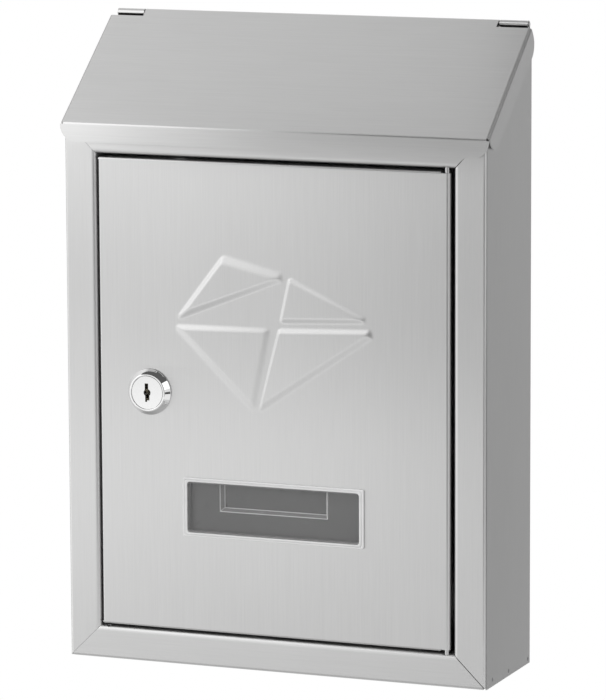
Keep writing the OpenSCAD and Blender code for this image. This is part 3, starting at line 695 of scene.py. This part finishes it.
@dataclass
class NameWindow:
    """The name window: a pale ring with its sleeve, a clear pane, and the tray behind it.

    Args:
        finishes: The mailbox's finishes.
        ring: Stations of the ring's section: how far in from the flange's edge across and up,
            corner radius, and how far the station stands out of the door, in millimetres.
        pane: The same for the pane.
        flange: How far the ring stands out of the door.
        sleeve_line: Height above the face of the door behind which the plastic is in shade; the faces
            behind it get the darker sleeve finish as painted shade.
        depth: How far behind the face of the door the tray's plate lies, in millimetres.
        notch: Half width of the tray's collar, and the heights of its foot and its floor above the
            window's middle.
        slope: Width of the collar's slope.
        shift: How far to the right of the middle the collar sits.
        collar_depth: How far behind the plate the collar goes.
        collar_painted_highlight: Width of the painted highlight, a pale line along the collar's folds.
        wall: Thickness of the tray's moulding.
        near: How close a point counts as on a line of the collar, in millimetres.
        fold: Angle in radians past which an edge of the tray is a fold.
    """

    finishes: Finishes
    ring: tuple[Station, ...] = (
        (0.0, 0.0, 1.0, 0.0), (0.0, 0.0, 1.0, 0.66), (0.1, 0.1, 0.95, 0.82), (0.28, 0.28, 0.9, 0.88),
        (0.95, 0.8, 0.9, 0.88), (1.07, 0.9, 0.9, 0.72), (1.25, 1.05, 1.1, 0.72), (1.4, 1.15, 1.1, 0.96),
        (1.55, 1.3, 1.0, 1.0), (2.2, 1.75, 1.4, 1.0), (2.4, 1.95, 1.4, 0.84), (2.4, 1.95, 1.4, 0.05),
        (2.75, 2.65, 1.0, 0.05), (2.75, 2.65, 1.0, -2.6), (2.46, 2.46, 1.0, -2.6), (2.46, 2.46, 1.0, 0.0),
    )
    pane: tuple[Station, ...] = (
        (2.42, 1.97, 1.4, 0.1), (2.42, 1.97, 1.4, 0.66), (2.5, 2.05, 1.35, 0.72),
    )
    flange: float = 1.0
    sleeve_line: float = 0.06
    depth: float = 2.6
    notch: Triple = (27.7, -1.7, -0.3)
    slope: float = 1.4
    shift: float = -0.8
    collar_depth: float = 2.6
    collar_painted_highlight: float = 0.22
    wall: float = 0.7
    near: float = 0.1
    fold: float = 0.2

    def _rings(self, bm: bmesh.types.BMesh, stations: tuple[Station, ...], centre: Vector,
               size: Vector) -> list[list[bmesh.types.BMEdge]]:
        """Adds the loops of a section and joins each to the next.

        Args:
            bm: The mesh.
            stations: The section's stations.
            centre: The window's middle on the face of the door.
            size: Size of the flange in millimetres.

        Returns:
            The edges of each loop.
        """
        shapes = [(size.x - 2 * a, size.z - 2 * u, radius, out) for a, u, radius, out in stations]
        width, height, radius, out = shapes[0]
        loops = [rounded_loop(bm, centre, (width, height), radius, out)]
        for shape, following in zip(shapes, shapes[1:]):
            made = bmesh.ops.extrude_edge_only(bm, edges=loops[-1])["geom"]
            verts = {v for v in made if isinstance(v, bmesh.types.BMVert)}
            reshape_loop(verts, centre, shape, following)
            loops.append([e for e in bm.edges if all(v in verts for v in e.verts)])
        return loops

    def _ring(self, centre: Vector, size: Vector) -> None:
        """Builds the ring with its sleeve.

        Args:
            centre: The window's middle on the face of the door.
            size: Size of the flange in millimetres.
        """
        bm = bmesh.new()
        self._rings(bm, self.ring + self.ring[:1], centre, size)
        bmesh.ops.remove_doubles(bm, verts=bm.verts, dist=MERGE)
        bmesh.ops.recalc_face_normals(bm, faces=bm.faces)
        # Faces behind the sleeve line take the darker sleeve finish: painted shade.
        for face in bm.faces:
            behind = all(v.co.y > centre.y - self.sleeve_line * MM for v in face.verts)
            face.material_index = 1 if behind else 0
        new_piece(bm, "window_ring", "door", ("name_window",),
                  [self.finishes.ring.material, self.finishes.sleeve.material], 50.0)

    def _pane(self, centre: Vector, size: Vector) -> None:
        """Builds the clear pane in the ring.

        Args:
            centre: The window's middle on the face of the door.
            size: Size of the flange in millimetres.
        """
        bm = bmesh.new()
        loops = self._rings(bm, self.pane, centre, size)
        bmesh.ops.edgeloop_fill(bm, edges=loops[0])
        bmesh.ops.edgeloop_fill(bm, edges=loops[-1])
        bmesh.ops.recalc_face_normals(bm, faces=bm.faces)
        new_piece(bm, "window_pane", "door", ("name_window",),
                  [self.finishes.pane.material], 50.0)

    def _tray(self, centre: Vector) -> None:
        """Builds the holder: a dark plate with a sloping collar, open upwards, round a shallow tray. The
        collar is coloured lighter than the plate as a painted sheen, and its folds carry a painted
        highlight.

        Args:
            centre: The window's middle on the face of the door.
        """
        low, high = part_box("name_holder")
        half_w, half_h = (high.x - low.x) / 2 / MM, (high.z - low.z) / 2 / MM
        across, foot, floor = self.notch
        bm = bmesh.new()
        bmesh.ops.create_grid(bm, x_segments=3, y_segments=2, size=0.5)
        middle = centre.x + self.shift * MM
        columns = (-half_w, self.shift - across, self.shift + across, half_w)
        rows = (-half_h, foot, half_h)
        for vert in bm.verts:
            i, j = round((vert.co.x + 0.5) * 3), round((vert.co.y + 0.5) * 2)
            vert.co = centre + Vector((columns[i], self.depth, rows[j])) * MM
        gap = [f for f in bm.faces if abs(f.calc_center_median().x - middle) < MM
               and f.calc_center_median().z > centre.z + foot * MM]
        bmesh.ops.delete(bm, geom=gap, context="FACES")
        plate = list(bm.faces)
        rim = [e for e in bm.edges if e.is_boundary
               and all(abs(v.co.x - middle) < (across + self.near) * MM
                       and v.co.z > centre.z + (foot - self.near) * MM for v in e.verts)]
        made = bmesh.ops.extrude_edge_only(bm, edges=rim)["geom"]
        inner = [v for v in made if isinstance(v, bmesh.types.BMVert)]
        for vert in inner:
            vert.co.y += self.collar_depth * MM
            vert.co.x -= math.copysign(self.slope * MM, vert.co.x - middle)
            if vert.co.z < centre.z + (foot + self.near) * MM:
                vert.co.z += (floor - foot) * MM
        # The collar's faces take the lighter material: painted sheen.
        collar = [f for f in bm.faces if f not in plate]
        for face in collar:
            face.material_index = 1
        inner.sort(key=lambda v: (round(v.co.z, 5), v.co.x))
        bm.faces.new((inner[0], inner[1], inner[3], inner[2]))
        bmesh.ops.recalc_face_normals(bm, faces=bm.faces)
        # The collar's folds are bevelled into thin strips of pale plastic: a painted highlight.
        folds = [e for e in bm.edges if len(e.link_faces) == 2 and e.calc_face_angle(0.0) > self.fold]
        highlight_strips = bmesh.ops.bevel(bm, geom=folds, offset=self.collar_painted_highlight * MM, segments=1, profile=0.5,
                               affect="EDGES", material=-1)["faces"]
        for face in highlight_strips:
            face.material_index = 2
        front = [f for f in bm.faces if f.material_index == 0]
        if sum(f.normal.y for f in front) > 0:
            bmesh.ops.reverse_faces(bm, faces=bm.faces)
        piece = new_piece(bm, "name_card_tray", "door", ("name_holder",),
                          [self.finishes.holder.material, self.finishes.collar.material,
                           self.finishes.collar_painted_highlight.material], None)
        solid = piece.modifiers.new("sheet", "SOLIDIFY")
        solid.thickness = self.wall * MM
        solid.offset = -1.0

    def build(self) -> None:
        """Builds the ring, the pane and the tray."""
        low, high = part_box("name_window")
        centre = Vector(((low.x + high.x) / 2, low.y + self.flange * MM, (low.z + high.z) / 2))
        size = (high - low) / MM
        self._ring(centre, size)
        self._pane(centre, size)
        self._tray(centre)


# ---- lock ----


@dataclass
class Lock:
    """The cam lock: a turned bezel with its threaded barrel, and the parts that turn in it.

    Args:
        finishes: The mailbox's finishes.
        bezel: Radius and depth of the bezel's section, in millimetres, outwards negative.
        bezel_height: How far the bezel stands out of the door.
        bezel_steps: Steps of the bezel's full turn.
        barrel_radius: Outer radius of the thread.
        bore: Radius of the bore.
        barrel_length: Length of the barrel behind the face of the door.
        barrel_steps: Steps of the barrel's full turn.
        barrel_edge: Width of the slope at the barrel's end.
        flats: Size across the two flats of the barrel.
        pitch: Pitch of the thread.
        thread: Depth of the thread.
        run_in: How far behind the face of the door the thread begins.
    """

    finishes: Finishes
    bezel: tuple[Pair, ...] = (
        (11.2, 0.0), (11.2, -0.62), (11.12, -0.78), (10.96, -0.9), (9.28, -3.3), (9.16, -3.44),
        (8.98, -3.55), (8.8, -3.6), (8.5, -3.6), (8.32, -3.56), (8.2, -3.46), (8.12, -3.3),
        (8.1, -1.9), (6.46, -1.9), (6.46, 0.0),
    )
    bezel_height: float = 3.6
    bezel_steps: int = 128
    barrel_radius: float = 9.4
    bore: float = 6.46
    barrel_length: float = 11.0
    barrel_steps: int = 96
    barrel_edge: float = 0.5
    flats: float = 16.0
    pitch: float = 1.0
    thread: float = 0.35
    run_in: float = 1.2

    def _barrel(self, bm: bmesh.types.BMesh, centre: Vector) -> None:
        """Adds the threaded barrel, cut to its two flats.

        Args:
            bm: The lock housing's mesh.
            centre: The middle of the lock on the face of the door.
        """
        part = bmesh.new()
        outline = [(self.bore, 0.0), (self.barrel_radius, 0.0)]
        turns = int(self.barrel_length / self.pitch) - 2
        for i in range(turns):
            y = self.run_in + i * self.pitch
            outline += [(self.barrel_radius, y), (self.barrel_radius - self.thread, y + self.pitch / 2)]
        outline += [(self.barrel_radius, self.barrel_length - self.barrel_edge),
                    (self.barrel_radius - self.barrel_edge, self.barrel_length),
                    (self.bore, self.barrel_length)]
        turned_profile(part, outline, centre, self.barrel_steps)
        bmesh.ops.recalc_face_normals(part, faces=part.faces)
        for side in (-1, 1):
            level = centre + Vector((0, 0, side * self.flats / 2 * MM))
            cut = bmesh.ops.bisect_plane(part, geom=part.verts[:] + part.edges[:] + part.faces[:],
                                         dist=CUT, plane_co=level, plane_no=(0, 0, side),
                                         clear_outer=True)
            rim = [e for e in cut["geom_cut"] if isinstance(e, bmesh.types.BMEdge)]
            bmesh.ops.edgeloop_fill(part, edges=rim)
        bmesh.ops.recalc_face_normals(part, faces=part.faces)
        mesh = bpy.data.meshes.new("barrel")
        part.to_mesh(mesh)
        part.free()
        bm.from_mesh(mesh)
        bpy.data.meshes.remove(mesh)

    def build(self) -> None:
        """Builds the housing and dresses the parts in it."""
        low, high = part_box("lock_housing")
        centre = Vector(((low.x + high.x) / 2, low.y + self.bezel_height * MM, (low.z + high.z) / 2))
        bm = bmesh.new()
        turned_profile(bm, list(self.bezel), centre, self.bezel_steps)
        bmesh.ops.recalc_face_normals(bm, faces=bm.faces)
        self._barrel(bm, centre)
        new_piece(bm, "lock_bezel_and_barrel", "door", ("lock_housing",),
                  [self.finishes.chrome.material], 35.0)
        self.finishes.dress(self.finishes.chrome, "lock_plug")
        self.finishes.dress(self.finishes.zinc, "lock_washer", "lock_nut", "lock_cam", "cam_washer",
                            "cam_screw")
        self.finishes.dress(self.finishes.brass, "lock_wafers")
        self.finishes.dress(self.finishes.wire, "wafer_springs")


# ---- studio ----


def heading(azimuth: float, elevation: float) -> Vector:
    """Gives a direction from the box: azimuth 0 is straight out of the front, 90 is to the right."""
    az, el = math.radians(azimuth), math.radians(elevation)
    return Vector((math.sin(az) * math.cos(el), -math.cos(az) * math.cos(el), math.sin(el)))


@dataclass
class Card:
    """A painted card, out of the camera's sight, that glows only towards the metal that reflects it.

    Args:
        name: The card's name.
        azimuth: Its bearing from the target, 0 in front and 90 to the right.
        elevation: Its height angle from the target.
        distance: Its distance from the target in metres.
        size: Width and height in metres.
        paint: Brightness in rows from top to bottom, each from the left to the right of someone
            who looks at the box from the card's side.
        target: The point that it faces.
    """

    name: str
    azimuth: float
    elevation: float
    distance: float
    size: Pair
    paint: tuple[tuple[float, ...], ...]
    target: Triple = (0.0, -0.03, 0.0)

    def _brightness(self, u: float, v: float) -> float:
        """Gives the paint at a place of the card, blended from the nearest four values.

        Args:
            u: The place from left to right, 0 to 1.
            v: The place from top to bottom, 0 to 1.

        Returns:
            The brightness there.
        """
        rows, columns = len(self.paint), len(self.paint[0])
        x, y = u * (columns - 1), v * (rows - 1)
        i, j = min(int(x), max(columns - 2, 0)), min(int(y), max(rows - 2, 0))
        a, b = x - i, y - j
        k, m = min(i + 1, columns - 1), min(j + 1, rows - 1)
        top = self.paint[j][i] * (1 - a) + self.paint[j][k] * a
        low = self.paint[m][i] * (1 - a) + self.paint[m][k] * a
        return top * (1 - b) + low * b

    def build(self) -> None:
        """Builds the card and its glowing material."""
        bm = bmesh.new()
        shade = bm.verts.layers.float.new("brightness")
        bmesh.ops.create_grid(bm, x_segments=CARD_CELLS, y_segments=CARD_CELLS, size=0.5)
        for vert in bm.verts:
            vert[shade] = self._brightness(vert.co.x + 0.5, 0.5 - vert.co.y)
        away = heading(self.azimuth, self.elevation)
        across = Vector((math.cos(math.radians(self.azimuth)), math.sin(math.radians(self.azimuth)), 0.0))
        up = across.cross(-away)
        turn = Matrix((across * self.size[0], up * self.size[1], away)).transposed().to_4x4()
        place = Vector(self.target) + away * self.distance
        bmesh.ops.transform(bm, matrix=Matrix.Translation(place) @ turn, verts=bm.verts)
        mesh = bpy.data.meshes.new(self.name)
        bm.to_mesh(mesh)
        bm.free()
        card = bpy.data.objects.new(self.name, mesh)
        bpy.context.scene.collection.objects.link(card)
        material = bpy.data.materials.new(self.name)
        graph = NodeGraph(material)
        painted = graph.add("Attribute", attribute_name="brightness")
        glow = graph.add("Emission", {"Strength": painted.outputs["Fac"]})
        clear = graph.add("BsdfTransparent")
        side = graph.add("NewGeometry").outputs["Backfacing"]
        one_sided = graph.add("MixShader", {0: side, 1: clear.outputs[0], 2: glow.outputs[0]})
        graph.add("OutputMaterial", {"Surface": one_sided.outputs[0]})
        mesh.materials.append(material)
        card.visible_camera = False
        card.visible_diffuse = False
        card.visible_transmission = False
        card.visible_shadow = False
        card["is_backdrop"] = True
        LOG.info("card %s", self.name)


# What the metal reflects. A card named after the lip, a fold or the bezel is there for that feature.
CARDS = (
    Card("front_card", 0, 0, 0.40, (0.56, 0.72), (
        (2.10, 1.90, 1.60, 1.45, 1.35, 1.30, 1.20, 1.00),
        (2.10, 1.90, 1.60, 1.45, 1.35, 1.30, 1.20, 1.00),
        (2.10, 1.85, 1.55, 1.35, 1.22, 1.15, 1.00, 0.80),
        (1.90, 1.70, 1.48, 1.36, 1.22, 1.10, 0.82, 0.38),
        (1.24, 1.04, 0.94, 1.00, 1.12, 1.07, 0.78, 0.34),
        (1.25, 1.08, 0.96, 0.92, 0.86, 0.82, 0.76, 0.52),
        (1.22, 1.08, 1.02, 1.14, 1.28, 1.26, 1.14, 0.72),
        (1.30, 1.16, 1.08, 1.08, 1.08, 1.06, 1.00, 0.80),
        (1.30, 1.15, 1.00, 0.88, 0.81, 0.82, 0.84, 0.80),
        (1.30, 1.15, 0.97, 0.85, 0.77, 0.76, 0.74, 0.70),
        (1.25, 1.10, 0.99, 0.87, 0.77, 0.72, 0.66, 0.62),
        (1.20, 1.10, 0.99, 0.87, 0.77, 0.72, 0.66, 0.62),
        (1.20, 1.10, 0.99, 0.87, 0.77, 0.72, 0.66, 0.62)), (-0.24, -0.065, -0.12)),
    Card("lip_card", 0, -9, 0.05, (0.28, 0.023), (
        (1.40, 1.33, 0.90, 0.70, 0.48, 0.42, 0.40, 0.38, 0.38),
        (1.40, 1.33, 0.95, 0.78, 0.68, 0.70, 0.68, 0.62, 0.60),
        (1.40, 1.33, 0.98, 0.82, 0.74, 0.76, 0.74, 0.66, 0.64)), (-0.02, -0.066, 0.1063)),
    Card("lip_visor", 0, 31, 0.157, (0.26, 0.14), (
        (1.80, 1.70, 1.15, 0.50, 0.15, 0.06, 0.06),), (-0.055, -0.066, 0.108)),
    Card("high_front_card", -22, 38, 0.50, (0.9, 0.42), ((1.60, 1.60, 1.55, 1.50, 1.45),),
         (0.0, -0.065, 0.10)),
    Card("left_card", -72, 0, 0.8, (0.75, 1.6), ((1.35,),)),
    Card("left_back_flag", -118, 0, 0.8, (0.5, 1.6), ((0.35,),)),
    Card("camera_flag", 22, 7, 0.75, (0.60, 0.75), ((0.22,),)),
    Card("right_card", 67, 10, 0.9, (0.50, 1.2), ((0.9,),)),
    Card("right_back_flag", 115, 0, 0.8, (0.70, 1.4), ((0.22,),)),
    Card("back_card", 160, 0, 0.9, (0.65, 1.6), ((0.64,), (0.61,), (0.55,))),
    Card("high_back_flag", 140, 50, 0.9, (1.2, 0.8), ((0.25,),)),
    Card("lid_card", 0, 90, 0.40, (0.8, 0.34), (
        (0.82, 0.87, 0.86, 0.79, 0.76, 0.76),
        (0.87, 0.87, 0.80, 0.75, 0.72, 0.72),
        (0.97, 0.92, 0.78, 0.71, 0.67, 0.67)), (-0.159, 0.05, 0.13)),
    Card("front_ceiling", 0, 78, 0.62, (0.85, 0.32), ((0.62,),), (-0.02, -0.10, -0.05)),
    Card("fold_flag", 0, 90, 0.52, (0.43, 0.18), ((0.12,),), (0.205, -0.03, -0.022)),
    Card("bezel_flag", 0, 90, 0.010, (0.026, 0.0185), ((0.12,),), (-0.0585, -0.0757, -0.019)),
    Card("bezel_card", 86.5, 24, 0.70, (0.12, 0.42), ((1.70,),), (-0.064, -0.068, -0.022)),
    Card("bezel_line", 88, -8, 0.68, (0.14, 0.10), ((0.10,),), (-0.064, -0.068, -0.022)),
    Card("low_card", 0, -90, 0.6, (1.6, 1.6), ((0.60,), (0.50,), (0.75,), (0.80,), (0.80,))),
)


@dataclass
class Studio:
    """Floor, world, lamps, cards and camera.

    Args:
        pale: Colour of the floor's paper.
        world_light: Strength of the world as a light.
        floor_drop: How far below the box the floor lies, in metres.
        room: Side of the floor in metres.
        lamps: Name, place, side in metres and power in watts of each lamp.
        azimuth: Bearing of the camera, 0 in front and 90 to the right.
        elevation: Its height angle.
        roll: How far it is turned round its line of sight, in degrees.
        distance: Its distance from the point that it aims at, in metres.
        aim: That point.
        sensor: Width of its sensor in millimetres.
        lens: Its focal length in millimetres.
        reach: How far it sees, in metres.
    """

    pale: float = 0.86
    world_light: float = 0.75
    floor_drop: float = 0.75
    room: float = 9.0
    lamps: tuple[tuple[str, Triple, float, float], ...] = (
        ("key_lamp", (-1.6, -2.0, 0.9), 1.2, 30.0), ("top_lamp", (0.4, -0.4, 2.2), 1.4, 22.0))
    azimuth: float = 21.833
    elevation: float = 9.218
    roll: float = -0.259
    distance: float = 2.23975
    aim: Triple = (0.00346, -0.035, -0.0024)
    sensor: float = 36.0
    lens: float = 276.72
    reach: float = 50.0

    def _seen(self, graph: NodeGraph) -> bpy.types.NodeSocket:
        """Adds the test for rays of the camera, of gloss and of clear plastic.

        Args:
            graph: The material's or the world's nodes.

        Returns:
            The socket that is 1 for those rays.
        """
        paths = graph.add("LightPath")
        seen = graph.add("Math", {0: paths.outputs["Is Camera Ray"], 1: paths.outputs["Is Glossy Ray"]},
                         operation="MAXIMUM")
        return graph.add("Math", {0: seen.outputs[0], 1: paths.outputs["Is Transmission Ray"]},
                         operation="MAXIMUM").outputs[0]

    def _paper(self) -> bpy.types.Material:
        """Builds the pale paper that shows white to the camera, to metal and to clear plastic.

        Returns:
            The paper's material.
        """
        material = bpy.data.materials.new("pale_paper")
        graph = NodeGraph(material)
        coords = graph.add("TexCoord").outputs["Object"]
        shade = graph.ramp(graph.noise(coords, (60.0, 60.0, 60.0), 2.0), self.pale * 0.99, self.pale * 1.01)
        paper = graph.add("BsdfDiffuse", {"Color": shade})
        white = graph.add("Emission", {"Strength": 1.0})
        mixed = graph.add("MixShader", {0: self._seen(graph), 1: paper.outputs[0], 2: white.outputs[0]})
        graph.add("OutputMaterial", {"Surface": mixed.outputs[0]})
        return material

    def _floor(self) -> None:
        """Builds the floor, well below the wall-hung box."""
        low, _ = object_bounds()
        bm = bmesh.new()
        bmesh.ops.create_grid(bm, x_segments=1, y_segments=1, size=self.room / 2)
        bmesh.ops.translate(bm, vec=(0, 0, low[2] - self.floor_drop), verts=bm.verts)
        mesh = bpy.data.meshes.new("paper_floor")
        bm.to_mesh(mesh)
        bm.free()
        mesh.materials.append(self._paper())
        paper = bpy.data.objects.new("paper_floor", mesh)
        bpy.context.scene.collection.objects.link(paper)
        paper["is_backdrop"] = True

    def _world(self) -> None:
        """Builds the world: white to the eye, to metal and to clear plastic, softer as a light."""
        world = bpy.data.worlds.new("studio_world")
        bpy.context.scene.world = world
        graph = NodeGraph(world)
        strength = graph.add("Math", {0: self._seen(graph), 1: 1.0 - self.world_light, 2: self.world_light},
                             operation="MULTIPLY_ADD")
        sky = graph.add("Background", {"Color": (1.0, 1.0, 1.0, 1.0), "Strength": strength.outputs[0]})
        graph.add("OutputWorld", {"Surface": sky.outputs[0]})

    def _lamp(self, name: str, place: Triple, size: float, power: float) -> None:
        """Adds a soft square lamp that faces the box and isn't mirrored in its metal.

        Args:
            name: The lamp's name.
            place: Its middle, in metres.
            size: Its side, in metres.
            power: Its power, in watts.
        """
        data = bpy.data.lights.new(name, "AREA")
        data.size = size
        data.energy = power
        lamp = bpy.data.objects.new(name, data)
        bpy.context.scene.collection.objects.link(lamp)
        lamp.location = place
        lamp.rotation_euler = Vector(place).to_track_quat("Z", "Y").to_euler()
        lamp.visible_glossy = False

    def _camera(self) -> None:
        """Places the camera to the right of the front and a little above."""
        back = heading(self.azimuth, self.elevation)
        roll = math.radians(self.roll)
        right = (-back).cross(Vector((0, 0, 1))).normalized()
        up = right.cross(-back)
        right, up = (right * math.cos(roll) + up * math.sin(roll),
                     up * math.cos(roll) - right * math.sin(roll))
        data = bpy.data.cameras.new("camera")
        data.sensor_fit = "HORIZONTAL"
        data.sensor_width = self.sensor
        data.lens = self.lens
        data.clip_end = self.reach
        camera = bpy.data.objects.new("camera", data)
        bpy.context.scene.collection.objects.link(camera)
        place = Vector(self.aim) + back * self.distance
        camera.matrix_world = Matrix.Translation(place) @ Matrix((right, up, back)).transposed().to_4x4()
        bpy.context.scene.camera = camera

    def build(self) -> None:
        """Builds the whole studio."""
        self._floor()
        self._world()
        for name, place, size, power in self.lamps:
            self._lamp(name, place, size, power)
        for card in CARDS:
            card.build()
        self._camera()
        bpy.context.scene.view_settings.view_transform = "Standard"
        LOG.info("studio built")


# ---- main ----


def main() -> None:
    logging.basicConfig(level=logging.INFO, format="%(name)s: %(message)s")
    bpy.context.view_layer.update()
    finishes = Finishes()
    for part in (Shell(finishes), Lid(finishes), Door(finishes), NameWindow(finishes), Lock(finishes)):
        part.build()
    Studio().build()


if __name__ == "__main__":
    main()
